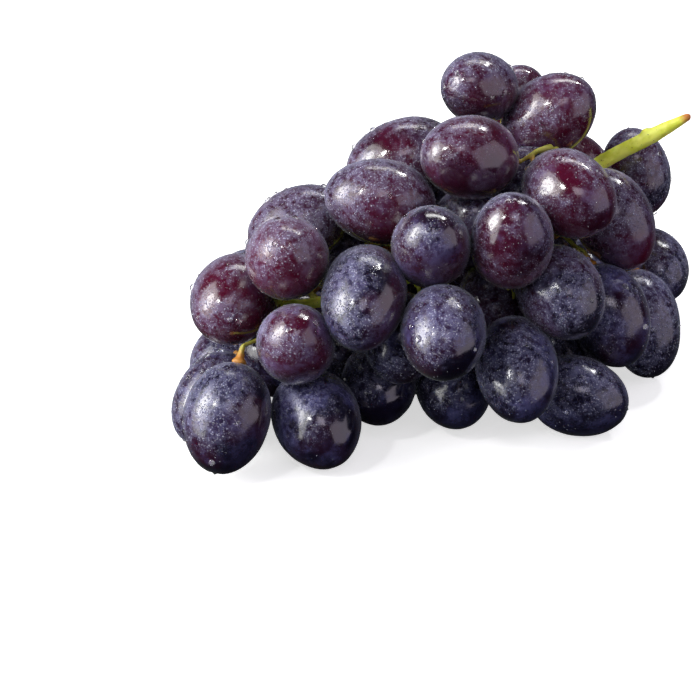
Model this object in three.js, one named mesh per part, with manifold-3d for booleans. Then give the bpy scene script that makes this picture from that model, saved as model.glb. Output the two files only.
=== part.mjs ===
// A bunch of dark oval table grapes, as picked and laid on a table: green stem and berries.
// Millimetres, +Z up. The origin is on the table under the middle of the bunch.
import * as THREE from "three";
import { mergeVertices } from "three/addons/utils/BufferGeometryUtils.js";
import Module from "manifold-3d";

// Where the bunch is looked at from: the berries of its front are placed as they are seen.
const EYE_DISTANCE = 505;
const EYE_RISE = 30;
const LOOK_AT = [-24.88, -35.41, 30];

// How far the berries press into each other and the table, and how far apart the middles of
// two that meet can be.
const BERRY_PRESS = 1.3;
const TABLE_PRESS = 0.6;
const BERRY_JOIN = 0.9;
const BERRY_MEETING = 32;

// How the bunch settles: rounds, the pull towards the stem, the share of a slide taken back,
// and the shares of what is wrong that a round mends. A front berry gives way less.
const FRONT_SETTLE = { rounds: 200, pull: 0.03, keep: 0.02 };
const BACK_SETTLE = { rounds: 150, pull: 0.35, keep: 0 };
const STEM_MEND = 0.6;
const PRESS_MEND = 0.7;
const PLACE_MEND = 0.7;
const FRONT_EASE = 0.25;

// The facets of a berry: the growth gives a faceted berry the volume of the round one.
const BERRY_FACETS = { detail: 2, growth: 1.02 };
const BACK_BERRY_FACETS = { detail: 1, growth: 1.047 };

// The main stem: its room to the berries' middles, its radii at even steps from the cut end
// to the tail, its rounded cut end, and the knob near it.
const STEM_ROOM = 2.8;
const STEM_RADII = [1.15, 2.3, 2.15, 2.25, 2.3, 2.2, 2.1, 2.0, 2.0, 1.9, 1.8, 1.7, 1.6, 1.4, 1.3];
const STEM_SIDES = 8;
const STEM_STEPS = 24;
const CUT_END_RADIUS = 1.1;
const KNOB = { radius: 1.9, share: 0.099, rise: 1.2 };

// A berry's stalk: its radii from the berry on, its gap to the berry, its straight neck, and
// its room to other berries and to the table.
const STALK_RADII = [1.45, 0.8, 0.75, 0.85, 1.0, 1.2];
const STALK_SIDES = 4;
const STALK_GAP = 0.35;
const STALK_NECK = 3.6;
const STALK_ROOM = 1.7;
const STALK_FLOOR = 3;
const STALK_ROUNDS = 80;

// The stalks branch off the main stem at any of these steps along it. Running on along
// another stalk costs a stalk this share of the way.
const BRANCH_STEPS = { first: 9, all: 30 };
const BRANCH_COST = 0.5;

// The least gap between the stem and any berry.
const STEM_GAP = 0.3;

const SEED = 7;

// The front of the bunch: across, up and back from the point looked at, length, width,
// lean from level, and nod of the tip towards the eye.
const FRONT = [
  [33.5, 68, 21, 24, 19.5, 180, 52],
  [55.6, 58.9, 24, 29, 22, 34, 34],
  [42.5, 64, 44, 23, 18.5, 65, 30],
  [31, 50, 3, 28, 22, 180, 35],
  [13.6, 49.3, 24, 31.5, 22.5, 198, 5],
  [7.8, 38.5, 0, 29.5, 22.5, 170, 5],
  [21, 27, -6, 26, 20.5, 90, 72],
  [42, 28.5, -8, 27.5, 21.5, 90, 45],
  [57, 40.5, 3, 28, 22, -42, 35],
  [68.5, 36.8, 24, 29.5, 21.5, -62, 5],
  [58.5, 47, 50, 24, 19, 135, 30],
  [74, 46, 48, 26, 20, 100, 10],
  [78.5, 21.8, 55, 26, 20, -60, 48],
  [76, 6.9, 44, 31, 21, -80, 5],
  [67.3, 9, 23, 29, 22, -70, 5],
  [55, 15.5, 5, 28.5, 22.5, -60, 40],
  [59.3, -12, 19, 27.5, 21.5, -15, 15],
  [43.3, -5, 4, 32, 21.7, -85, 40],
  [26.8, -9.4, 18, 26, 20.5, -80, 45],
  [24.2, 4.4, -6, 28, 22, -90, 48],
  [3.6, 13.5, -7, 31, 22, -100, 40],
  [7.5, -8.6, 20, 26, 20.5, -100, 50],
  [-8.6, -18, 5, 29.5, 23, -65, 40],
  [-32, -17.7, 2, 29.5, 22.5, -102, 5],
  [-15, 1, -8, 25.5, 20.3, 90, 72],
  [-16.4, 24, -7, 27, 21.5, 90, 82],
  [-30.2, 13, 8, 28, 22.5, 240, 50],
  [-35.9, -12.5, 16, 27, 19.5, 237, 5],
  [-31.7, -3.1, 28, 26, 20.5, 240, 40],
  [-13.4, 32.3, 15, 28, 20.5, 202, 5],
];

// The berries that show in the gaps between those of the front.
const FILLING = [
  [-3, 26.5, 20, 25, 20, 60, 30],
  [30.7, 32.5, 16, 25, 20, 60, 30],
  [45, 43, 22, 25, 20, 30, 30],
  [37.5, 12.5, 16, 25, 20, -90, 45],
  [54.5, 0.5, 30, 25, 20, -90, 20],
  [13, 3, 10, 25, 20, -90, 20],
  [-2.5, -4, 26, 25, 20, -90, 20],
];

// The back and underside: place along the stem, ring radius, first and last angle from
// level, and number of berries of each ring.
const RINGS = [
  [0.33, 32, 12, -75, 4],
  [0.45, 32, 8, -95, 5],
  [0.58, 34, 15, -95, 4],
  [0.72, 32, 10, -95, 4],
  [0.86, 25, -25, -85, 3],
  [0.97, 20, -55, -85, 2],
];

// The main stem, from its cut end in to the tail of the bunch, as places from the point
// on the table below the one looked at.
const STEM = [
  [91.4, 50.1, 73.9],
  [80, 52.5, 65.8],
  [69, 55, 57.8],
  [53, 50, 47],
  [34, 42, 39],
  [14, 33, 33],
  [-7.5, 24, 31],
  [-19.5, 21.8, 31.8],
].map(([x, y, z]) => new THREE.Vector3(x + LOOK_AT[0], y + LOOK_AT[1], z));

const wasm = await Module();
wasm.setup();

const rise = THREE.MathUtils.degToRad(EYE_RISE);
const across = new THREE.Vector3(1, 0, 0);
const upward = new THREE.Vector3(0, Math.sin(rise), Math.cos(rise));
const backward = new THREE.Vector3(0, Math.cos(rise), -Math.sin(rise));
const target = new THREE.Vector3(...LOOK_AT);
const eye = target.clone().addScaledVector(backward, -EYE_DISTANCE);

// One seeded draw between two values.
let drawn = SEED;
function draw(low, high) {
  drawn = (drawn * 16807) % 2147483647;
  return low + ((high - low) * drawn) / 2147483647;
}

function nearestOnStem(point) {
  let best = null;
  for (let i = 1; i < STEM.length; i++) {
    const near = new THREE.Line3(STEM[i - 1], STEM[i])
      .closestPointToPoint(point, true, new THREE.Vector3());
    if (!best || near.distanceTo(point) < best.distanceTo(point)) best = near;
  }
  return best;
}

// A berry's axis points to its tip, and its stalk meets the other end.
function makeBerry(at, length, width, axis, ease) {
  axis.normalize();
  const sight = at.clone().sub(eye).normalize();
  return { at, length, width, axis, ease, sight, start: at.clone(), seen: true };
}

function seenBerry([right, up, back, length, width, lean, nod], ease) {
  const grown = 1 + back / EYE_DISTANCE;
  const at = target.clone()
    .addScaledVector(across, right * grown)
    .addScaledVector(upward, up * grown)
    .addScaledVector(backward, back);
  const turn = THREE.MathUtils.degToRad(lean);
  const tip = THREE.MathUtils.degToRad(nod);
  const axis = across.clone().multiplyScalar(Math.cos(turn) * Math.cos(tip))
    .addScaledVector(upward, Math.sin(turn) * Math.cos(tip))
    .addScaledVector(backward, -Math.sin(tip));
  return makeBerry(at, length, width, axis, ease);
}

// The berries of the rings round the stem, on the side away from the eye.
function ringBerries() {
  const line = new THREE.CurvePath();
  for (let i = 1; i < STEM.length; i++) line.add(new THREE.LineCurve3(STEM[i - 1], STEM[i]));
  const along = STEM[STEM.length - 1].clone().sub(STEM[3]).normalize();
  const side = new THREE.Vector3(0, 0, 1).cross(along).normalize();
  if (side.y < 0) side.negate();
  const top = side.clone().cross(along);
  if (top.z < 0) top.negate();
  return RINGS.flatMap(([place, radius, first, last, count]) => {
    const middle = line.getPoint(place);
    return Array.from({ length: count }, (_, i) => {
      const angle = THREE.MathUtils.degToRad(first + ((last - first) * i) / (count - 1) + draw(-5, 5));
      const out = side.clone().multiplyScalar(Math.cos(angle)).addScaledVector(top, Math.sin(angle));
      const at = middle.clone().addScaledVector(out, radius).addScaledVector(along, draw(-3, 3));
      const width = draw(20, 22.5);
      const length = width * draw(1.22, 1.36);
      const tilt = new THREE.Vector3(draw(-0.35, 0.35), draw(-0.35, 0.35), draw(-0.35, 0.35));
      const berry = makeBerry(at, length, width, out.add(tilt), 1);
      berry.seen = false;
      return berry;
    });
  });
}

// Half the berry's extent from its middle along a unit direction.
function reach(berry, direction) {
  const c = berry.axis.dot(direction);
  return 0.5 / Math.sqrt((1 - c * c) / berry.width ** 2 + (c * c) / berry.length ** 2);
}

function halfHeight(berry) {
  const c = berry.axis.z;
  return 0.5 * Math.sqrt(berry.width ** 2 * (1 - c * c) + berry.length ** 2 * c * c);
}

// Keeps a berry clear of the stem and draws it in towards it; one of the underside also sinks.
function keepToStem(berry, pull) {
  const near = nearestOnStem(berry.at);
  const out = berry.at.clone().sub(near);
  const distance = out.length();
  out.normalize();
  const need = reach(berry, out) + STEM_ROOM;
  if (distance < need) berry.at.addScaledVector(out, (need - distance) * STEM_MEND);
  else if (distance > need + 1) berry.at.addScaledVector(out, -pull);
  if (!berry.seen && berry.at.z < near.z) berry.at.z -= pull;
}

function pressApart(a, b) {
  const ease = a.ease + b.ease;
  const between = b.at.clone().sub(a.at);
  const distance = between.length();
  if (ease === 0 || distance > BERRY_MEETING) return;
  between.normalize();
  const over = reach(a, between) + reach(b, between) - distance - BERRY_PRESS;
  if (over <= 0) return;
  a.at.addScaledVector(between, (-PRESS_MEND * over * a.ease) / ease);
  b.at.addScaledVector(between, (PRESS_MEND * over * b.ease) / ease);
}

// A seen berry slides along its line of sight alone, and none goes through the table.
function keepInPlace(berry, keep) {
  if (berry.seen) {
    const slid = berry.at.clone().sub(berry.start).dot(berry.sight) * (1 - keep);
    const place = berry.start.clone().addScaledVector(berry.sight, slid);
    berry.at.lerp(place, PLACE_MEND);
  }
  const low = berry.at.z - halfHeight(berry) + TABLE_PRESS;
  if (low < 0 && berry.seen) berry.at.addScaledVector(berry.sight, -low / berry.sight.z);
  else if (low < 0) berry.at.z -= low;
}

// Lets the berries slide until they only press on each other.
function settle(berries, { rounds, pull, keep }) {
  for (let round = 0; round < rounds; round++) {
    const free = berries.filter((berry) => berry.ease > 0);
    for (const berry of free) keepToStem(berry, round > rounds * 0.75 ? 0 : pull);
    for (let i = 0; i < berries.length; i++) {
      for (let j = i + 1; j < berries.length; j++) pressApart(berries[i], berries[j]);
    }
    for (const berry of free) keepInPlace(berry, keep);
  }
}

// Draws each berry that hangs loose against its nearest neighbour, so that all hold together.
function joinLoose(berries) {
  const held = [berries[0]];
  const loose = new Set(berries.slice(1));
  while (loose.size > 0) {
    let next = { gap: Infinity };
    for (const berry of loose) {
      for (const other of held) {
        const between = other.at.clone().sub(berry.at);
        const distance = between.length();
        between.normalize();
        const gap = distance - reach(berry, between) - reach(other, between);
        if (gap < next.gap) next = { gap, berry, between };
      }
    }
    const move = Math.max(0, next.gap + BERRY_JOIN);
    next.berry.at.addScaledVector(next.between, move);
    loose.delete(next.berry);
    held.push(next.berry);
  }
}

const seen = [
  ...FRONT.map((row) => ({ ...seenBerry(row, FRONT_EASE), front: true })),
  ...FILLING.map((row) => seenBerry(row, 1)),
];
settle(seen, FRONT_SETTLE);
for (const berry of seen) berry.ease = 0;
const berries = [...seen, ...ringBerries()];
settle(berries, BACK_SETTLE);
joinLoose(berries);

// A closed geometry as a solid that can be joined and cut.
function solidOf(geometry) {
  const bare = geometry.clone();
  bare.deleteAttribute("normal");
  bare.deleteAttribute("uv");
  const merged = mergeVertices(bare, 1e-4);
  return new wasm.Manifold(new wasm.Mesh({
    numProp: 3,
    vertProperties: Float32Array.from(merged.attributes.position.array),
    triVerts: Uint32Array.from(merged.index.array),
  }));
}

function geometryOf(solid) {
  const mesh = solid.getMesh();
  return new THREE.BufferGeometry()
    .setAttribute("position", new THREE.BufferAttribute(mesh.vertProperties, mesh.numProp))
    .setIndex(new THREE.BufferAttribute(mesh.triVerts, 1));
}

function facetsOf(berry) {
  return berry.front ? BERRY_FACETS : BACK_BERRY_FACETS;
}

function berrySolid(berry, grown) {
  const { detail, growth } = facetsOf(berry);
  const turn = new THREE.Quaternion()
    .setFromUnitVectors(new THREE.Vector3(0, 0, 1), berry.axis);
  const size = new THREE.Vector3(berry.width, berry.width, berry.length)
    .multiplyScalar(growth)
    .addScalar(grown);
  const placed = new THREE.Matrix4().compose(berry.at, turn, size);
  return solidOf(new THREE.IcosahedronGeometry(0.5, detail).applyMatrix4(placed));
}

// A limb: a cylinder bent along its curve, with a radius for each step along it.
function limbSolid(points, radii, sides, steps) {
  const curve = new THREE.CatmullRomCurve3(points, false, "centripetal");
  const frames = curve.computeFrenetFrames(steps, false);
  const limb = new THREE.CylinderGeometry(1, 1, 1, sides, steps);
  const position = limb.attributes.position;
  const vertex = new THREE.Vector3();
  for (let i = 0; i < position.count; i++) {
    vertex.fromBufferAttribute(position, i);
    const step = Math.round((0.5 - vertex.y) * steps);
    const place = (step / steps) * (radii.length - 1);
    const cell = Math.min(Math.floor(place), radii.length - 2);
    const radius = THREE.MathUtils.lerp(radii[cell], radii[cell + 1], place - cell);
    const point = curve.getPointAt(step / steps)
      .addScaledVector(frames.normals[step], vertex.x * radius)
      .addScaledVector(frames.binormals[step], vertex.z * radius);
    position.setXYZ(i, point.x, point.y, point.z);
  }
  return solidOf(limb);
}

function ballSolid(place, radius) {
  return solidOf(new THREE.IcosahedronGeometry(radius, 1).translate(place.x, place.y, place.z));
}

function pushClear(point, berry, room) {
  const out = point.clone().sub(berry.at);
  const distance = out.length();
  out.normalize();
  const need = reach(berry, out) + room;
  if (distance < need) point.addScaledVector(out, need - distance);
}

// The way of a berry's stalk from the berry to where it joins the stem, bent clear of
// every berry on the way.
function stalkPath(berry, root) {
  const { growth } = facetsOf(berry);
  const away = (berry.length / 2) * growth + STALK_GAP;
  const foot = berry.at.clone().addScaledVector(berry.axis, -away);
  const neck = foot.clone().addScaledVector(berry.axis, -STALK_NECK);
  const points = [foot, neck];
  for (const share of [0.25, 0.5, 0.75]) points.push(neck.clone().lerp(root, share));
  points.push(root);
  for (let round = 0; round < STALK_ROUNDS; round++) {
    for (let i = 2; i < points.length - 1; i++) {
      const middle = points[i - 1].clone().add(points[i + 1]).multiplyScalar(0.5);
      points[i].lerp(middle, 0.5);
      for (const other of berries) pushClear(points[i], other, STALK_ROOM);
      points[i].z = Math.max(points[i].z, STALK_FLOOR);
    }
  }
  return points;
}

// Stalks join the main stem, or a stalk already there where that is nearer.
function stemSolid() {
  const joints = [];
  const line = new THREE.CatmullRomCurve3(STEM, false, "centripetal");
  for (let i = BRANCH_STEPS.first; i <= BRANCH_STEPS.all; i++) {
    joints.push({ point: line.getPointAt(i / BRANCH_STEPS.all), run: 0 });
  }
  const order = [...berries].sort((a, b) =>
    a.at.distanceTo(nearestOnStem(a.at)) - b.at.distanceTo(nearestOnStem(b.at)));
  const knob = line.getPointAt(KNOB.share).add(new THREE.Vector3(0, 0, KNOB.rise));
  let solid = limbSolid(STEM, STEM_RADII, STEM_SIDES, STEM_STEPS)
    .add(ballSolid(knob, KNOB.radius))
    .add(ballSolid(STEM[0], CUT_END_RADIUS));
  for (const berry of order) {
    const neck = berry.at.clone().addScaledVector(berry.axis, -berry.length / 2 - STALK_NECK);
    const cost = (joint) => joint.point.distanceTo(neck) + joint.run * BRANCH_COST;
    const joint = joints.reduce((best, next) => (cost(next) < cost(best) ? next : best));
    const path = stalkPath(berry, joint.point);
    solid = solid.add(limbSolid(path, STALK_RADII, STALK_SIDES, STALK_RADII.length - 1));
    let run = joint.run;
    for (let i = path.length - 2; i > 1; i--) {
      run += path[i].distanceTo(path[i + 1]);
      joints.push({ point: path[i], run });
    }
  }
  for (const berry of berries) {
    const room = berrySolid(berry, 2 * STEM_GAP);
    if (solid.intersect(room).volume() > 0) solid = solid.subtract(room);
  }
  return largestBody(solid);
}

function largestBody(solid) {
  const bodies = solid.decompose();
  return bodies.reduce((best, next) => (next.volume() > best.volume() ? next : best));
}

// All berries as one body, with small flats where they rest on the table.
function berriesSolid() {
  let solid = berrySolid(berries[0], 0);
  for (const berry of berries.slice(1)) solid = solid.add(berrySolid(berry, 0));
  const above = new THREE.BoxGeometry(400, 400, 200).translate(0, 0, 100);
  return largestBody(solid.intersect(solidOf(above)));
}

function piece(name, solid, colour, roughness) {
  const material = new THREE.MeshStandardMaterial({ color: colour, roughness, metalness: 0 });
  const mesh = new THREE.Mesh(geometryOf(solid), material);
  mesh.name = name;
  return mesh;
}

const bunch = new THREE.Group();
bunch.add(piece("berries", berriesSolid(), 0x2a1a2e, 0.35));
bunch.add(piece("stem", stemSolid(), 0xa9b04a, 0.6));

export default bunch;
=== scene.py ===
import math

import bmesh
import bpy
import numpy as np
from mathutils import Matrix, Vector


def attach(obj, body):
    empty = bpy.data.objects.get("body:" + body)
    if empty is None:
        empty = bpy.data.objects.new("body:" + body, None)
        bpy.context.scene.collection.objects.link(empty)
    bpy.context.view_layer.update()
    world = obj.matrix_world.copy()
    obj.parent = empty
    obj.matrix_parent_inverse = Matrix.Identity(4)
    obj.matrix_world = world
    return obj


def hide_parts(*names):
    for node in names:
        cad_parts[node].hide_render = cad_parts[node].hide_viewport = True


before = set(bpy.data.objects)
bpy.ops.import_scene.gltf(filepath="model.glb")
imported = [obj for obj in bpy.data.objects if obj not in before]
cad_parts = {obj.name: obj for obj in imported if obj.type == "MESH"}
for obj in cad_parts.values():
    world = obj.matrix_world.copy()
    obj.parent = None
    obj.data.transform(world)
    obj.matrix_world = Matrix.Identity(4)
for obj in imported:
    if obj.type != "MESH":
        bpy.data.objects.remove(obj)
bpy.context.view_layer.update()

# Where the berries lie.
# The front of the bunch is placed as it is seen, in millimetres from the point looked at:
# across, up, back, length, width, lean from level and nod of the tip towards the eye.
EYE_DISTANCE = 505
EYE_RISE = math.radians(30)
LOOK_AT = Vector((-24.88, -35.41, 30))
BERRY_PRESS = 1.3
BERRY_JOIN = 0.9
TABLE_PRESS = 0.6
BERRY_MEETING = 32
STEM_ROOM = 2.8
# How the bunch settles: rounds, the pull towards the stem, the share of a slide taken back,
# and the shares of what is wrong that a round mends. A front berry gives way less, one that is
# within the slack isn't pulled, and the last rounds pull none.
FRONT_SETTLE = (200, 0.03, 0.02)
BACK_SETTLE = (150, 0.35, 0)
STEM_MEND = 0.6
PRESS_MEND = 0.7
PLACE_MEND = 0.7
FRONT_EASE = 0.25
STEM_SLACK = 1
PULLED_ROUNDS = 0.75
# Chance: the first number, and the factor and the prime that give the next.
SEED = 7
DRAW_FACTOR = 16807
DRAW_PRIME = 2147483647
FRONT = [
    (33.5, 68, 21, 24, 19.5, 180, 52),
    (55.6, 58.9, 24, 29, 22, 34, 34),
    (42.5, 64, 44, 23, 18.5, 65, 30),
    (31, 50, 3, 28, 22, 180, 35),
    (13.6, 49.3, 24, 31.5, 22.5, 198, 5),
    (7.8, 38.5, 0, 29.5, 22.5, 170, 5),
    (21, 27, -6, 26, 20.5, 90, 72),
    (42, 28.5, -8, 27.5, 21.5, 90, 45),
    (57, 40.5, 3, 28, 22, -42, 35),
    (68.5, 36.8, 24, 29.5, 21.5, -62, 5),
    (58.5, 47, 50, 24, 19, 135, 30),
    (74, 46, 48, 26, 20, 100, 10),
    (78.5, 21.8, 55, 26, 20, -60, 48),
    (76, 6.9, 44, 31, 21, -80, 5),
    (67.3, 9, 23, 29, 22, -70, 5),
    (55, 15.5, 5, 28.5, 22.5, -60, 40),
    (59.3, -12, 19, 27.5, 21.5, -15, 15),
    (43.3, -5, 4, 32, 21.7, -85, 40),
    (26.8, -9.4, 18, 26, 20.5, -80, 45),
    (24.2, 4.4, -6, 28, 22, -90, 48),
    (3.6, 13.5, -7, 31, 22, -100, 40),
    (7.5, -8.6, 20, 26, 20.5, -100, 50),
    (-8.6, -18, 5, 29.5, 23, -65, 40),
    (-32, -17.7, 2, 29.5, 22.5, -102, 5),
    (-15, 1, -8, 25.5, 20.3, 90, 72),
    (-16.4, 24, -7, 27, 21.5, 90, 82),
    (-30.2, 13, 8, 28, 22.5, 240, 50),
    (-35.9, -12.5, 16, 27, 19.5, 237, 5),
    (-31.7, -3.1, 28, 26, 20.5, 240, 40),
    (-13.4, 32.3, 15, 28, 20.5, 202, 5),
]
FILLING = [
    (-3, 26.5, 20, 25, 20, 60, 30),
    (30.7, 32.5, 16, 25, 20, 60, 30),
    (45, 43, 22, 25, 20, 30, 30),
    (37.5, 12.5, 16, 25, 20, -90, 45),
    (54.5, 0.5, 30, 25, 20, -90, 20),
    (13, 3, 10, 25, 20, -90, 20),
    (-2.5, -4, 26, 25, 20, -90, 20),
]
# Rings of the back and underside: place along the stem, radius, first and last angle, number.
RINGS = [
    (0.33, 32, 12, -75, 4),
    (0.45, 32, 8, -95, 5),
    (0.58, 34, 15, -95, 4),
    (0.72, 32, 10, -95, 4),
    (0.86, 25, -25, -85, 3),
    (0.97, 20, -55, -85, 2),
]
# What chance gives a berry of a ring: a turn round the stem in degrees, a shift along it, a lean,
# a width, and a length for that width.
RING_TURN = 5
RING_SHIFT = 3
RING_LEAN = 0.35
RING_WIDTH = (20, 22.5)
RING_STRETCH = (1.22, 1.36)
STEM = [
    Vector((x, y, z)) + Vector((LOOK_AT.x, LOOK_AT.y, 0))
    for x, y, z in [
        (91.4, 50.1, 73.9), (80, 52.5, 65.8), (69, 55, 57.8), (53, 50, 47),
        (34, 42, 39), (14, 33, 33), (-7.5, 24, 31), (-19.5, 21.8, 31.8),
    ]
]
across = Vector((1, 0, 0))
upward = Vector((0, math.sin(EYE_RISE), math.cos(EYE_RISE)))
backward = Vector((0, math.cos(EYE_RISE), -math.sin(EYE_RISE)))
eye = LOOK_AT - backward * EYE_DISTANCE
drawn = SEED


def draw(low, high):
    global drawn
    drawn = (drawn * DRAW_FACTOR) % DRAW_PRIME
    return low + (high - low) * drawn / DRAW_PRIME


def nearest_on_stem(point):
    best = None
    for start, end in zip(STEM[:-1], STEM[1:]):
        run = end - start
        share = min(1, max(0, (point - start).dot(run) / run.dot(run)))
        near = start + run * share
        if best is None or (near - point).length < (best - point).length:
            best = near
    return best


class Berry:
    def __init__(self, at, length, width, axis, ease, seen=True):
        self.at = at
        self.start = at.copy()
        self.length = length
        self.width = width
        self.axis = axis.normalized()
        self.sight = (at - eye).normalized()
        self.ease = ease
        self.seen = seen

    def reach(self, direction):
        c = self.axis.dot(direction)
        return 0.5 / math.sqrt((1 - c * c) / self.width**2 + c * c / self.length**2)

    def half_height(self):
        c = self.axis.z
        return 0.5 * math.sqrt(self.width**2 * (1 - c * c) + self.length**2 * c * c)


def seen_berry(row, ease):
    right, up, back, length, width, lean, nod = row
    grown = 1 + back / EYE_DISTANCE
    at = LOOK_AT + across * right * grown + upward * up * grown + backward * back
    turn = math.radians(lean)
    tip = math.radians(nod)
    level = across * math.cos(turn) + upward * math.sin(turn)
    axis = level * math.cos(tip) - backward * math.sin(tip)
    return Berry(at, length, width, axis, ease)


def along_stem(share):
    left = share * sum((b - a).length for a, b in zip(STEM[:-1], STEM[1:]))
    for start, end in zip(STEM[:-1], STEM[1:]):
        run = (end - start).length
        if left <= run:
            return start.lerp(end, left / run)
        left -= run
    return STEM[-1].copy()


def ring_berries():
    along = (STEM[-1] - STEM[3]).normalized()
    side = Vector((0, 0, 1)).cross(along).normalized()
    if side.y < 0:
        side.negate()
    top = side.cross(along)
    if top.z < 0:
        top.negate()
    made = []
    for place, radius, first, last, count in RINGS:
        for i in range(count):
            angle = math.radians(first + (last - first) * i / (count - 1) + draw(-RING_TURN, RING_TURN))
            out = side * math.cos(angle) + top * math.sin(angle)
            at = along_stem(place) + out * radius + along * draw(-RING_SHIFT, RING_SHIFT)
            width = draw(*RING_WIDTH)
            length = width * draw(*RING_STRETCH)
            tilt = Vector([draw(-RING_LEAN, RING_LEAN) for _ in range(3)])
            made.append(Berry(at, length, width, out + tilt, 1, seen=False))
    return made


def keep_to_stem(berry, pull):
    near = nearest_on_stem(berry.at)
    out = berry.at - near
    distance = out.length
    out.normalize()
    need = berry.reach(out) + STEM_ROOM
    if distance < need:
        berry.at += out * (need - distance) * STEM_MEND
    elif distance > need + STEM_SLACK:
        berry.at -= out * pull
    if not berry.seen and berry.at.z < near.z:
        berry.at.z -= pull


def press_apart(a, b):
    ease = a.ease + b.ease
    between = b.at - a.at
    distance = between.length
    if ease == 0 or distance > BERRY_MEETING:
        return
    between.normalize()
    over = a.reach(between) + b.reach(between) - distance - BERRY_PRESS
    if over > 0:
        a.at -= between * (PRESS_MEND * over * a.ease / ease)
        b.at += between * (PRESS_MEND * over * b.ease / ease)


def keep_in_place(berry, keep):
    if berry.seen:
        slid = (berry.at - berry.start).dot(berry.sight) * (1 - keep)
        berry.at = berry.at.lerp(berry.start + berry.sight * slid, PLACE_MEND)
    low = berry.at.z - berry.half_height() + TABLE_PRESS
    if low < 0 and berry.seen:
        berry.at -= berry.sight * (low / berry.sight.z)
    elif low < 0:
        berry.at.z -= low


def settle(group, rounds, pull, keep):
    for turn in range(rounds):
        free = [berry for berry in group if berry.ease > 0]
        for berry in free:
            keep_to_stem(berry, 0 if turn > rounds * PULLED_ROUNDS else pull)
        for i, berry in enumerate(group):
            for other in group[i + 1:]:
                press_apart(berry, other)
        for berry in free:
            keep_in_place(berry, keep)


def join_loose(group):
    held = [group[0]]
    loose = list(group[1:])
    while loose:
        best = None
        for berry in loose:
            for other in held:
                between = other.at - berry.at
                distance = between.length
                between.normalize()
                gap = distance - berry.reach(between) - other.reach(between)
                if best is None or gap < best[0]:
                    best = (gap, berry, between)
        gap, berry, between = best
        berry.at += between * max(0, gap + BERRY_JOIN)
        loose.remove(berry)
        held.append(berry)


seen_berries = [seen_berry(row, FRONT_EASE) for row in FRONT]
seen_berries += [seen_berry(row, 1) for row in FILLING]
settle(seen_berries, *FRONT_SETTLE)
for berry in seen_berries:
    berry.ease = 0
berries = seen_berries + ring_berries()
settle(berries, *BACK_SETTLE)
join_loose(berries)


# Stem.
# The cut main stem, its side branches and the berries' stalks are one green woody piece,
# yellow-green where young, with brown warts and browned where cut and at each berry.
MM = 0.001
STEM_WELD = 1e-6
STEM_GRAIN = 0.00038
STEM_SMOOTHING = 8
# The warty cushion at each berry: its width and depth, and how far out of the berry it sits.
CUSHION_WIDTH = 4.2
CUSHION_DEPTH = 2.2
CUSHION_OUT = 0.15
WART_SIZE = 0.0022
WART_HEIGHT = 0.0002
# How far from a berry's foot, from the cut and from the main stem's middle a colour starts, how
# far it takes to change, in metres, and how strong it gets.
FOOT_BROWN = (0.0016, 0.0026, 0.9)
CUT_BROWN = (0.0010, 0.0016, 1)
STALK_OLIVE = (0.0028, 0.0025, 0.75)
YELLOW_GREEN = (0.68, 0.74, 0.05, 1)
PALE_GREEN = (0.86, 0.89, 0.15, 1)
OLIVE = (0.25, 0.21, 0.035, 1)
WART_BROWN = (0.16, 0.12, 0.03, 1)
CUT_TAN = (0.50, 0.17, 0.03, 1)


def deselect_all():
    if bpy.context.object and bpy.context.object.mode != "OBJECT":
        bpy.ops.object.mode_set(mode="OBJECT")
    bpy.ops.object.select_all(action="DESELECT")


def take(piece):
    deselect_all()
    piece.select_set(True)
    bpy.context.view_layer.objects.active = piece


def apply_modifier(piece, kind, **settings):
    take(piece)
    modifier = piece.modifiers.new(kind.lower(), kind)
    for name, value in settings.items():
        setattr(modifier, name, value)
    bpy.ops.object.modifier_apply(modifier=modifier.name)


def set_attribute(piece, name, values):
    layer = piece.data.attributes.new(name, "FLOAT", "POINT")
    layer.data.foreach_set("value", np.asarray(values, dtype=np.float32))


def points_of(piece):
    flat = np.empty(len(piece.data.vertices) * 3, dtype=np.float32)
    piece.data.vertices.foreach_get("co", flat)
    return flat.reshape(-1, 3)


stem = bpy.data.objects.new("stem_stalks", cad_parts["stem"].data.copy())
bpy.context.scene.collection.objects.link(stem)
take(stem)
bpy.ops.object.mode_set(mode="EDIT")
bpy.ops.mesh.select_all(action="SELECT")
bpy.ops.mesh.remove_doubles(threshold=STEM_WELD)
bpy.ops.object.mode_set(mode="OBJECT")
stem_parts = [stem]
for berry in berries:
    deselect_all()
    foot = (berry.at - berry.axis * (berry.length / 2 + CUSHION_OUT)) * MM
    bpy.ops.mesh.primitive_ico_sphere_add(subdivisions=2, radius=MM, location=foot)
    cushion = bpy.context.object
    cushion.rotation_euler = berry.axis.to_track_quat("Z", "Y").to_euler()
    cushion.scale = (CUSHION_WIDTH / 2, CUSHION_WIDTH / 2, CUSHION_DEPTH / 2)
    bpy.ops.object.transform_apply(location=True, rotation=True, scale=True)
    stem_parts.append(cushion)
deselect_all()
for part in stem_parts:
    part.select_set(True)
bpy.context.view_layer.objects.active = stem
bpy.ops.object.join()
apply_modifier(stem, "REMESH", mode="VOXEL", voxel_size=STEM_GRAIN)
apply_modifier(stem, "SMOOTH", factor=0.5, iterations=STEM_SMOOTHING)
warts = bpy.data.textures.new("stem_warts", "CLOUDS")
warts.noise_scale = WART_SIZE
apply_modifier(stem, "DISPLACE", texture=warts, texture_coords="LOCAL", strength=WART_HEIGHT)
take(stem)
bpy.ops.object.shade_smooth()

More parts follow.
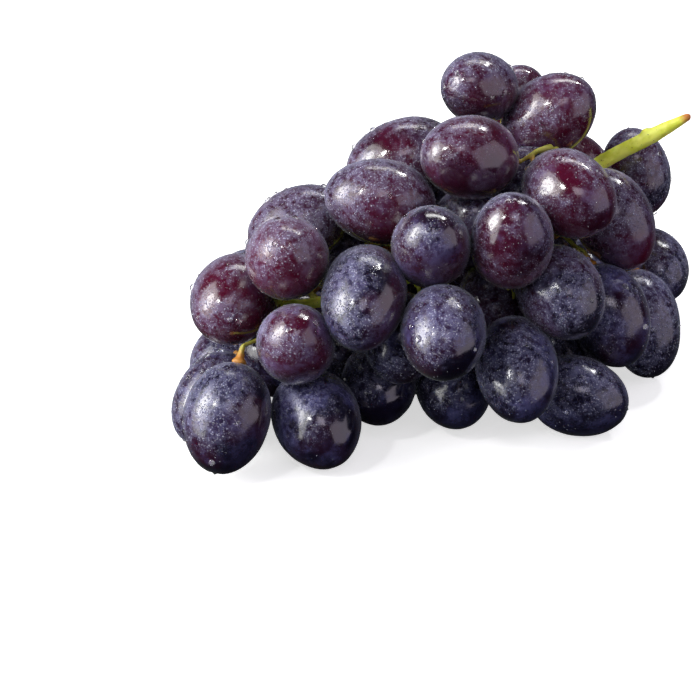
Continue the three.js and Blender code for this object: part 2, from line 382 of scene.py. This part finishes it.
stalk_feet = np.array([(b.at - b.axis * b.length / 2) * MM for b in berries])
cut_end = np.array(STEM[0] * MM)
stem_points = points_of(stem)
to_feet = np.full(len(stem_points), 1.0)
for foot in stalk_feet:
    to_feet = np.minimum(to_feet, np.linalg.norm(stem_points - foot, axis=1))
to_cut = np.linalg.norm(stem_points - cut_end, axis=1)


def fading(distance, start, run, most):
    return np.clip(1 - (distance - start) / run, 0, 1) * most


set_attribute(stem, "browned", np.maximum(fading(to_feet, *FOOT_BROWN), fading(to_cut, *CUT_BROWN)))
to_stem = np.full(len(stem_points), 1.0)
for start, end in zip(STEM[:-1], STEM[1:]):
    run = np.array(end - start) * MM
    from_start = stem_points - np.array(start) * MM
    share = np.clip(from_start @ run / (run @ run), 0, 1)
    to_stem = np.minimum(to_stem, np.linalg.norm(from_start - share[:, None] * run, axis=1))
olive_from, olive_run, most_olive = STALK_OLIVE
set_attribute(stem, "stalk", np.clip((to_stem - olive_from) / olive_run, 0, 1) * most_olive)


def new_material(name, **sockets):
    material = bpy.data.materials.new(name)
    material.use_nodes = True
    shader = material.node_tree.nodes["Principled BSDF"]
    for socket, value in sockets.items():
        shader.inputs[socket.replace("_", " ")].default_value = value
    return material, material.node_tree, shader


def add_node(tree, kind, settings=None, **inputs):
    node = tree.nodes.new("ShaderNode" + kind)
    for name, value in (settings or {}).items():
        setattr(node, name, value)
    for name, value in inputs.items():
        socket = node.inputs[int(name[1:])] if name[0] == "_" else node.inputs[name.replace("_", " ")]
        if isinstance(value, bpy.types.NodeSocket):
            tree.links.new(value, socket)
        else:
            socket.default_value = value
    return node


def smooth_step(tree, value, low, high):
    node = add_node(tree, "MapRange", {"interpolation_type": "SMOOTHSTEP"}, Value=value)
    node.inputs["From Min"].default_value = low
    node.inputs["From Max"].default_value = high
    return node.outputs[0]


def mixed(tree, factor, first, second):
    node = add_node(tree, "Mix", {"data_type": "RGBA"}, _0=factor, _6=first, _7=second)
    return node.outputs[2]


def sums(tree, operation, first, second):
    node = add_node(tree, "Math", {"operation": operation, "use_clamp": True}, _0=first, _1=second)
    return node.outputs[0]


def times(tree, first, second):
    return sums(tree, "MULTIPLY", first, second)


stalk_green, tree, shader = new_material("stalk_green", Roughness=0.48, Subsurface_Weight=0.12)
shader.inputs["Subsurface Scale"].default_value = 0.002
place = add_node(tree, "TexCoord").outputs["Object"]
blotch = add_node(tree, "TexNoise", Vector=place, Scale=320.0, Detail=4.0).outputs["Fac"]
wart = add_node(tree, "TexNoise", Vector=place, Scale=1500.0, Detail=3.0).outputs["Fac"]
green = mixed(tree, smooth_step(tree, blotch, 0.35, 0.65), YELLOW_GREEN, PALE_GREEN)
stalk_mask = add_node(tree, "Attribute", {"attribute_name": "stalk"}).outputs["Fac"]
duller = mixed(tree, stalk_mask, green, OLIVE)
specked = mixed(tree, smooth_step(tree, wart, 0.66, 0.74), duller, WART_BROWN)
brown_mask = add_node(tree, "Attribute", {"attribute_name": "browned"}).outputs["Fac"]
stem_colour = mixed(tree, brown_mask, specked, CUT_TAN)
tree.links.new(stem_colour, shader.inputs["Base Color"])
rough = add_node(tree, "Bump", Height=wart, Strength=0.35, Distance=0.0002).outputs["Normal"]
tree.links.new(rough, shader.inputs["Normal"])
stem.data.materials.clear()
stem.data.materials.append(stalk_green)
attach(stem, "root")
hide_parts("stem")


# One berry.
# An oval table grape: a firm smooth skin, a little fuller towards the stalk, with a shallow
# dimple round the stalk and the small dry scar of the flower at its tip.
FULLER = 0.10
DIMPLE = 0.022
SCAR = 0.012
# Of the dimple and of the scar: the share of its depth, and how high the rings lie that get it,
# where the berry is 1 long. The tip of the flower stands up a little in the middle of the scar.
DIMPLE_RINGS = ((0.55, 0.4945), (0.45, 0.4985), (0.2, 0.4999))
SCAR_RINGS = ((0.5, 0.4945), (0.6, 0.4985))
TIP_HEIGHT = 0.4865
TIP_RADIUS = 0.012
TIP_RISE = 1.4


def choose(piece, test):
    sheet = bmesh.from_edit_mesh(piece.data)
    for vertex in sheet.verts:
        vertex.select = test(vertex.co)
    sheet.select_flush_mode()
    bmesh.update_edit_mesh(piece.data)


deselect_all()
bpy.ops.mesh.primitive_uv_sphere_add(segments=64, ring_count=40, radius=0.5)
pattern = bpy.context.object
bpy.ops.object.mode_set(mode="EDIT")
bpy.ops.mesh.select_all(action="DESELECT")
for depth, edge in DIMPLE_RINGS:
    choose(pattern, lambda co, edge=edge: co.z < -edge)
    bpy.ops.transform.translate(value=(0, 0, DIMPLE * depth))
for depth, edge in SCAR_RINGS:
    choose(pattern, lambda co, edge=edge: co.z > edge)
    bpy.ops.transform.translate(value=(0, 0, -SCAR * depth))
choose(pattern, lambda co: co.z > TIP_HEIGHT and math.hypot(co.x, co.y) < TIP_RADIUS)
bpy.ops.transform.translate(value=(0, 0, SCAR * TIP_RISE))
bpy.ops.object.mode_set(mode="OBJECT")
apply_modifier(pattern, "SIMPLE_DEFORM", deform_method="TAPER", deform_axis="Z", factor=-FULLER)
pattern_points = points_of(pattern).copy()


# Berries.
# Each is a copy of the one berry at its own size, slightly uneven as grown, and flat where
# it lies on the table. Its skin carries how ripe it is and how much bloom is left on it.
UNEVEN = 0.0005
UNEVEN_SPAN = 0.011
RIPPLE = 0.00012
RIPPLE_SPAN = 0.0038
uneven_skin = bpy.data.textures.new("uneven_skin", "CLOUDS")
uneven_skin.noise_scale = UNEVEN_SPAN
rippled_skin = bpy.data.textures.new("rippled_skin", "CLOUDS")
rippled_skin.noise_scale = RIPPLE_SPAN
# Of the front berries, in the order of their rows: ripeness, 0 wine red to 1 blue-black, then
# how much bloom is left and how much of the berry was sprayed. The others get theirs by chance.
SKINS = [
    (0.50, 0.50, 0.65), (0.25, 0.40, 0.75), (0.00, 0.15, 0.30), (0.25, 0.28, 0.32), (0.28, 0.25, 0.75),
    (0.32, 0.35, 0.75), (0.70, 0.70, 0.45), (0.45, 0.50, 0.80), (0.28, 0.55, 0.55), (0.30, 0.45, 0.50),
    (0.00, 0.12, 0.20), (0.60, 0.55, 1.00), (0.80, 0.70, 0.80), (0.85, 0.55, 0.80), (0.85, 0.70, 0.50),
    (0.65, 0.55, 0.75), (0.95, 0.55, 0.50), (0.95, 0.55, 0.40), (1.00, 0.40, 0.35), (0.85, 0.55, 0.45),
    (0.70, 0.55, 0.65), (1.00, 0.35, 0.20), (0.90, 0.75, 0.20), (0.80, 0.45, 0.40), (0.35, 0.75, 0.75),
    (0.05, 0.45, 0.60), (0.25, 0.30, 0.75), (0.85, 0.55, 1.00), (0.70, 0.50, 0.60), (0.25, 0.28, 0.95),
]
OTHER_RIPE = (0.6, 1)
OTHER_BLOOM = (0.4, 0.7)
OTHER_SPRAYED = (0.3, 0.9)


def berry_piece(number, berry):
    piece = pattern.copy()
    piece.data = pattern.data.copy()
    piece.name = f"berry_{number:02d}"
    bpy.context.scene.collection.objects.link(piece)
    turn = Vector((0, 0, 1)).rotation_difference(berry.axis).to_matrix()
    size = np.array((berry.width, berry.width, berry.length)) * MM
    spots = (pattern_points * size) @ np.array(turn).T + np.array(berry.at) * MM
    piece.data.vertices.foreach_set("co", spots.astype(np.float32).ravel())
    piece.data.update()
    apply_modifier(piece, "DISPLACE", texture=uneven_skin, texture_coords="LOCAL", strength=UNEVEN)
    apply_modifier(piece, "DISPLACE", texture=rippled_skin, texture_coords="LOCAL", strength=RIPPLE)
    take(piece)
    bpy.ops.object.mode_set(mode="EDIT")
    choose(piece, lambda co: co.z < 0)
    bpy.ops.transform.resize(value=(1, 1, 0), center_override=(0, 0, 0))
    bpy.ops.object.mode_set(mode="OBJECT")
    take(piece)
    bpy.ops.object.shade_smooth()
    drawn_skin = (draw(*OTHER_RIPE), draw(*OTHER_BLOOM), draw(*OTHER_SPRAYED))
    berry.skin = SKINS[number] if number < len(SKINS) else drawn_skin
    for name, value in zip(("ripe", "bloom", "sprayed"), berry.skin):
        set_attribute(piece, name, np.full(len(pattern_points), value))
    return piece


berry_pieces = [berry_piece(number, berry) for number, berry in enumerate(berries)]
bpy.data.objects.remove(pattern)


# Skin.
# Thin glossy skin over dark flesh, filmed with a blue-grey wax that is rubbed off in places
# and with a frost of fine mist on the sides that were sprayed. Light is painted into the colour
# too: the film is laid thicker on the side that faces the key light, a painted lit side; a pale
# grey runs along the upper edges, a painted rim light; and the mist's beads are painted bright,
# as painted glints.
def make_bloom_group():
    group = bpy.data.node_groups.new("waxy_bloom", "ShaderNodeTree")
    face = group.interface
    face.new_socket(name="Place", in_out="INPUT", socket_type="NodeSocketVector")
    face.new_socket(name="Bloom", in_out="INPUT", socket_type="NodeSocketFloat")
    face.new_socket(name="Sprayed", in_out="INPUT", socket_type="NodeSocketFloat")
    for name in ("Film", "Mist", "Beads", "Mottle"):
        face.new_socket(name=name, in_out="OUTPUT", socket_type="NodeSocketFloat")
    entry = group.nodes.new("NodeGroupInput")
    leave = group.nodes.new("NodeGroupOutput")
    where = entry.outputs["Place"]
    patch = add_node(group, "TexNoise", Vector=where, Scale=78.0, Detail=3.0, Roughness=0.6)
    patches = smooth_step(group, patch.outputs["Fac"], 0.44, 0.62)
    speck = add_node(group, "TexNoise", Vector=where, Scale=520.0, Detail=6.0, Roughness=0.72)
    mottle = speck.outputs["Fac"]
    rubbed = times(group, smooth_step(group, mottle, 0.34, 0.60), 0.7)
    worn = times(group, patches, sums(group, "ADD", rubbed, 0.3))
    film = times(group, worn, entry.outputs["Bloom"])
    thin = times(group, entry.outputs["Bloom"], 0.03)
    drift = add_node(group, "TexNoise", Vector=where, Scale=55.0, Detail=4.0, Roughness=0.65)
    drifts = smooth_step(group, drift.outputs["Fac"], 0.34, 0.56)
    sprayed = times(group, entry.outputs["Sprayed"], drifts)
    dewy = times(group, sprayed, sums(group, "ADD", rubbed, 0.1))
    filmed = sums(group, "MAXIMUM", film, times(group, dewy, 0.5))
    group.links.new(sums(group, "ADD", filmed, thin), leave.inputs["Film"])
    coarse = add_node(group, "TexVoronoi", Vector=where, Scale=1200.0)
    fine = add_node(group, "TexVoronoi", Vector=where, Scale=1900.0)
    coarse_bead = smooth_step(group, coarse.outputs["Distance"], 0.38, 0.14)
    coarse_kept = smooth_step(group, coarse.outputs["Color"], 0.18, 0.58)
    fine_bead = smooth_step(group, fine.outputs["Distance"], 0.40, 0.14)
    fine_kept = smooth_step(group, fine.outputs["Color"], 0.05, 0.55)
    coarse_beads = times(group, coarse_bead, coarse_kept)
    fine_beads = times(group, times(group, fine_bead, fine_kept), 0.8)
    clusters = smooth_step(group, mottle, 0.38, 0.56)
    beads = times(group, sums(group, "MAXIMUM", coarse_beads, fine_beads), clusters)
    group.links.new(sprayed, leave.inputs["Mist"])
    group.links.new(times(group, beads, sprayed), leave.inputs["Beads"])
    group.links.new(mottle, leave.inputs["Mottle"])
    return group


WINE = (0.085, 0.0030, 0.017, 1)
BLUE_BLACK = (0.0055, 0.0035, 0.010, 1)
WINE_FILM = (0.155, 0.095, 0.205, 1)
BLUE_FILM = (0.090, 0.090, 0.25, 1)
# The grey of the mist's frost, which also paints the painted rim light and the painted glints on the
# beads.
MIST_AND_PAINTED_LIGHT_GREY = (0.62, 0.63, 0.86, 1)
SHEEN_TINT = (0.80, 0.88, 0.86, 1)
SPRAY_FROM = (-0.45, -0.15, 0.85)
SPRAY_REACH = 1.3
# How rough the skin is where it is bare and under a full film, and how clear where it is bare.
BARE_ROUGHNESS = 0.07
FILM_ROUGHNESS = 0.42
BARE_COAT = 0.8
FILM_COVER = 0.6
SKIN_RELIEF = 0.00022

bloom_group = make_bloom_group()
grape_skin, tree, shader = new_material(
    "grape_skin", Coat_Roughness=0.03, Subsurface_Weight=0.05, Sheen_Weight=0.12, Sheen_Roughness=0.3)
shader.inputs["Subsurface Scale"].default_value = 0.004
shader.inputs["Sheen Tint"].default_value = SHEEN_TINT
shader.inputs["Specular IOR Level"].default_value = 0.85
place = add_node(tree, "TexCoord").outputs["Object"]
ripe = add_node(tree, "Attribute", {"attribute_name": "ripe"}).outputs["Fac"]
bloomed = add_node(tree, "Attribute", {"attribute_name": "bloom"}).outputs["Fac"]
wetted = add_node(tree, "Attribute", {"attribute_name": "sprayed"}).outputs["Fac"]
facing = add_node(tree, "NewGeometry").outputs["Normal"]
towards = add_node(tree, "VectorMath", {"operation": "DOT_PRODUCT"}, _0=facing, _1=SPRAY_FROM)
reached = add_node(tree, "Math", {"operation": "MULTIPLY_ADD"}, _0=wetted, _1=SPRAY_REACH)
tree.links.new(towards.outputs["Value"], reached.inputs[2])
sprayed = smooth_step(tree, reached.outputs[0], 0.45, 1.45)
bloom = tree.nodes.new("ShaderNodeGroup")
bloom.node_tree = bloom_group
tree.links.new(place, bloom.inputs["Place"])
tree.links.new(bloomed, bloom.inputs["Bloom"])
tree.links.new(sprayed, bloom.inputs["Sprayed"])
flush = add_node(tree, "TexNoise", Vector=place, Scale=48.0, Detail=2.0).outputs["Fac"]
darker = sums(tree, "ADD", ripe, times(tree, smooth_step(tree, flush, 0.42, 0.62), 0.45))
skin = mixed(tree, darker, WINE, BLUE_BLACK)
film_colour = mixed(tree, ripe, WINE_FILM, BLUE_FILM)
height = add_node(tree, "SeparateXYZ", Vector=facing).outputs["Z"]
# Painted lit side: the wax film is made thicker, and so paler, on the sides that face up and to the
# left towards the key light. film and filmed below carry this painted light.
painted_lit_side = times(tree, smooth_step(tree, towards.outputs["Value"], -0.55, 0.55), 0.75)
film = times(tree, bloom.outputs["Film"], sums(tree, "ADD", painted_lit_side, 0.3))
filmed = mixed(tree, film, skin, film_colour)
# The grey haze is the mist's own colour; the bright beads mixed in with it are painted glints, standing
# in for the light that water beads catch and gather on the skin.
haze = times(tree, smooth_step(tree, bloom.outputs["Mottle"], 0.40, 0.60), 0.11)
mist_and_painted_glints = sums(tree, "ADD", times(tree, bloom.outputs["Mist"], haze),
                times(tree, bloom.outputs["Beads"], 0.55))
# Painted rim light: a pale grey is mixed into the colour where the skin turns away at the edges, more
# on the upper side, standing in for the bright room mirrored at the edges. The same painted light also
# roughens the skin and takes off its coat below.
edge = add_node(tree, "LayerWeight", Blend=0.5).outputs["Facing"]
rim_light_on_top = times(tree, smooth_step(tree, height, -0.6, 0.5), 0.30)
painted_rim_light = times(tree, smooth_step(tree, edge, 0.45, 1.0), rim_light_on_top)
frost_and_painted_light = mixed(tree, sums(tree, "ADD", mist_and_painted_glints, painted_rim_light), filmed, MIST_AND_PAINTED_LIGHT_GREY)
tree.links.new(frost_and_painted_light, shader.inputs["Base Color"])
film_and_painted_rim = sums(tree, "MAXIMUM", film, painted_rim_light)
dull = add_node(tree, "MapRange", Value=film_and_painted_rim)
dull.inputs["To Min"].default_value = BARE_ROUGHNESS
dull.inputs["To Max"].default_value = FILM_ROUGHNESS
wet = sums(tree, "SUBTRACT", 1.0, times(tree, bloom.outputs["Beads"], 0.75))
tree.links.new(times(tree, dull.outputs[0], wet), shader.inputs["Roughness"])
misted = times(tree, bloom.outputs["Mist"], 0.5)
cover = sums(tree, "MAXIMUM", times(tree, film_and_painted_rim, 1.5), misted)
clear = add_node(tree, "MapRange", Value=cover)
clear.inputs["From Max"].default_value = FILM_COVER
clear.inputs["To Min"].default_value = BARE_COAT
clear.inputs["To Max"].default_value = 0.0
tree.links.new(clear.outputs[0], shader.inputs["Coat Weight"])
relief = sums(tree, "ADD", bloom.outputs["Beads"], times(tree, bloom.outputs["Mottle"], 0.25))
bumped = add_node(tree, "Bump", Height=relief, Strength=1.0, Distance=SKIN_RELIEF).outputs["Normal"]
tree.links.new(bumped, shader.inputs["Normal"])
for piece in berry_pieces:
    piece.data.materials.clear()
    piece.data.materials.append(grape_skin)
    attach(piece, "root")
    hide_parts("berries")


# Dew.
# Water beads on the sprayed sides of the berries: many fine ones and a few large drops,
# each a flattened round bead that sits on the skin, where no other berry covers it. The large
# ones are clear; the fine ones are milky white, a painted glint, so that they show as bright specks.
FINE_DROPS = 700
HIDDEN_DROPS = 150
LARGE_DROPS = 18
HIDDEN_LARGE_DROPS = 3
FINE_RADIUS = (0.07, 0.18)
LARGE_RADIUS = (0.35, 1.0)
DROP_FLATNESS = 0.72
DROP_SUNK = 0.15
DROP_CHANCE = (0.25, 1.55)
DROPS_TO_A_PIECE = 3200
# A drop keeps this far from other berries and from the table. No berry reaches further than REACH.
CLEAR_OF_BERRIES = 0.25
CLEAR_OF_TABLE = 0.0004
REACH = 17


def drop_shape(segments, rings):
    deselect_all()
    bpy.ops.mesh.primitive_uv_sphere_add(segments=segments, ring_count=rings, radius=1)
    drop = bpy.context.object
    bpy.ops.object.mode_set(mode="EDIT")
    bpy.ops.mesh.select_all(action="SELECT")
    bpy.ops.mesh.bisect(
        plane_co=(0, 0, -DROP_SUNK), plane_no=(0, 0, 1), clear_inner=True, use_fill=True)
    bpy.ops.mesh.select_all(action="SELECT")
    bpy.ops.transform.resize(value=(1, 1, DROP_FLATNESS), center_override=(0, 0, 0))
    bpy.ops.object.mode_set(mode="OBJECT")
    points = points_of(drop).copy()
    corners = [list(face.vertices) for face in drop.data.polygons]
    bpy.data.objects.remove(drop)
    return points, corners


spray = Vector(SPRAY_FROM)


def is_buried(point, neighbours):
    for other in neighbours:
        out = point - other.at
        distance = out.length
        if distance < REACH and distance < other.reach(out.normalized()) + CLEAR_OF_BERRIES:
            return True
    return False


def drops_on(piece, berry, points, sizes, count):
    made = []
    others = [other for other in berries if other is not berry]
    neighbours = [other for other in others if (other.at - berry.at).length < BERRY_MEETING]
    # By height, because the faces of a sphere come in another order each run.
    faces = sorted(piece.data.polygons, key=lambda face: face.center.z)
    reached = np.cumsum([face.area for face in faces])
    for _ in range(count):
        face = faces[int(np.searchsorted(reached, draw(0, reached[-1])))]
        radius = draw(*sizes)
        corner = max((piece.data.vertices[i].co for i in face.vertices), key=lambda co: co.z)
        spot = face.center.lerp(corner, draw(0, 1))
        missed = face.normal.dot(spray) + berry.skin[2] * SPRAY_REACH < draw(*DROP_CHANCE)
        if missed or spot.z < CLEAR_OF_TABLE or is_buried(spot * 1000, neighbours):
            continue
        turn = np.array(Vector((0, 0, 1)).rotation_difference(face.normal).to_matrix())
        made.append(points * radius * MM @ turn.T + np.array(spot))
    return made


def dew_piece(name, drops, corners, material):
    sheet = bpy.data.meshes.new(name)
    step = len(drops[0])
    faces = [[corner + i * step for corner in face] for i in range(len(drops)) for face in corners]
    sheet.from_pydata(np.concatenate(drops).tolist(), [], faces)
    dew = bpy.data.objects.new(name, sheet)
    bpy.context.scene.collection.objects.link(dew)
    take(dew)
    bpy.ops.object.shade_smooth()
    sheet.materials.append(material)
    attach(dew, "root")


fine_points, fine_corners = drop_shape(6, 4)
large_points, large_corners = drop_shape(16, 12)
fine_drops = []
large_drops = []
for piece, berry in zip(berry_pieces, berries):
    fine_count = FINE_DROPS if berry.seen else HIDDEN_DROPS
    large_count = LARGE_DROPS if berry.seen else HIDDEN_LARGE_DROPS
    fine_drops += drops_on(piece, berry, fine_points, FINE_RADIUS, fine_count)
    large_drops += drops_on(piece, berry, large_points, LARGE_RADIUS, large_count)
# The fine drops are given a milky white so that each shows as a bright speck: a painted glint for the
# light that water beads gather.
dew_mist_painted_glint = new_material(
    "dew_mist_painted_glint", Roughness=0.0, IOR=1.33, Transmission_Weight=0.8, Base_Color=(0.9, 0.92, 1, 1))[0]
dew_clear = new_material(
    "dew_clear", Roughness=0.0, IOR=1.33, Transmission_Weight=1.0, Base_Color=(1, 1, 1, 1))[0]
dew_piece("dew_large", large_drops, large_corners, dew_clear)
for first in range(0, len(fine_drops), DROPS_TO_A_PIECE):
    some = fine_drops[first:first + DROPS_TO_A_PIECE]
    dew_piece(f"dew_fine_{first // DROPS_TO_A_PIECE + 1}", some, fine_corners, dew_mist_painted_glint)


# Table.
# A plain white sheet under the bunch, just below its lowest flats, lit on its own so that it
# adds no glare from below.
SHEET_SIZE = 6
SHEET_LEVEL = -0.0002
deselect_all()
bpy.ops.mesh.primitive_plane_add(size=SHEET_SIZE, location=(0, 0, SHEET_LEVEL))
table = bpy.context.object
table.name = "table_sheet"
table.visible_glossy = False
table.visible_diffuse = False
white_sheet, tree, shader = new_material("white_sheet", Roughness=0.9, Emission_Strength=0.62)
shader.inputs["Base Color"].default_value = (0.92, 0.92, 0.92, 1)
shader.inputs["Emission Color"].default_value = (1, 1, 1, 1)
table.data.materials.append(white_sheet)


# Light.
# A bright box at the left with a brighter core, dim panels at the right and above the eye, a strip
# behind and above that edges the tops, and two small sparks, in a pale room that the gloss
# doesn't mirror.
world = bpy.data.worlds.new("pale_room")
world.use_nodes = True
world.node_tree.nodes["Background"].inputs["Color"].default_value = (0.92, 0.96, 1, 1)
world.node_tree.nodes["Background"].inputs["Strength"].default_value = 0.28
world.cycles_visibility.glossy = False
bpy.context.scene.world = world


def soft_box(name, place, width, height, brightness, colour=(1, 1, 1), shape="RECTANGLE"):
    lamp = bpy.data.lights.new(name, "AREA")
    lamp.shape = shape
    lamp.size = width
    lamp.size_y = height
    lamp.energy = brightness * math.pi * width * height
    lamp.color = colour
    holder = bpy.data.objects.new(name, lamp)
    holder.location = place
    towards = Vector((0, 0, 0.04)) - Vector(place)
    holder.rotation_euler = towards.to_track_quat("-Z", "Y").to_euler()
    bpy.context.scene.collection.objects.link(holder)


soft_box("left_box", (-0.85, -0.20, 0.42), 0.95, 1.15, 2.6)
soft_box("left_core", (-0.80, -0.19, 0.42), 0.44, 0.66, 7, shape="ELLIPSE")
soft_box("right_panel", (0.90, -0.40, 0.35), 1.20, 0.95, 0.85, (0.93, 0.82, 1))
soft_box("eye_panel", (0.05, -0.75, 0.95), 0.42, 0.32, 2.3, (0.93, 0.85, 1))
soft_box("back_strip", (0.10, 0.55, 0.85), 0.60, 0.18, 6)
soft_box("left_spark", (-0.55, -0.55, 0.85), 0.08, 0.08, 90)
soft_box("back_spark", (0.45, 0.45, 0.80), 0.08, 0.08, 90)


# Camera.
# It looks down at the front of the bunch with a long lens, from where the berries' places in
# the first section are taken.
lens = bpy.data.cameras.new("camera")
lens.lens = 100
lens.sensor_width = 36
camera = bpy.data.objects.new("camera", lens)
camera.location = eye * MM
camera.rotation_euler = (math.radians(90) - EYE_RISE, 0, 0)
bpy.context.scene.collection.objects.link(camera)
bpy.context.scene.camera = camera
bpy.context.scene.view_settings.view_transform = "Standard"
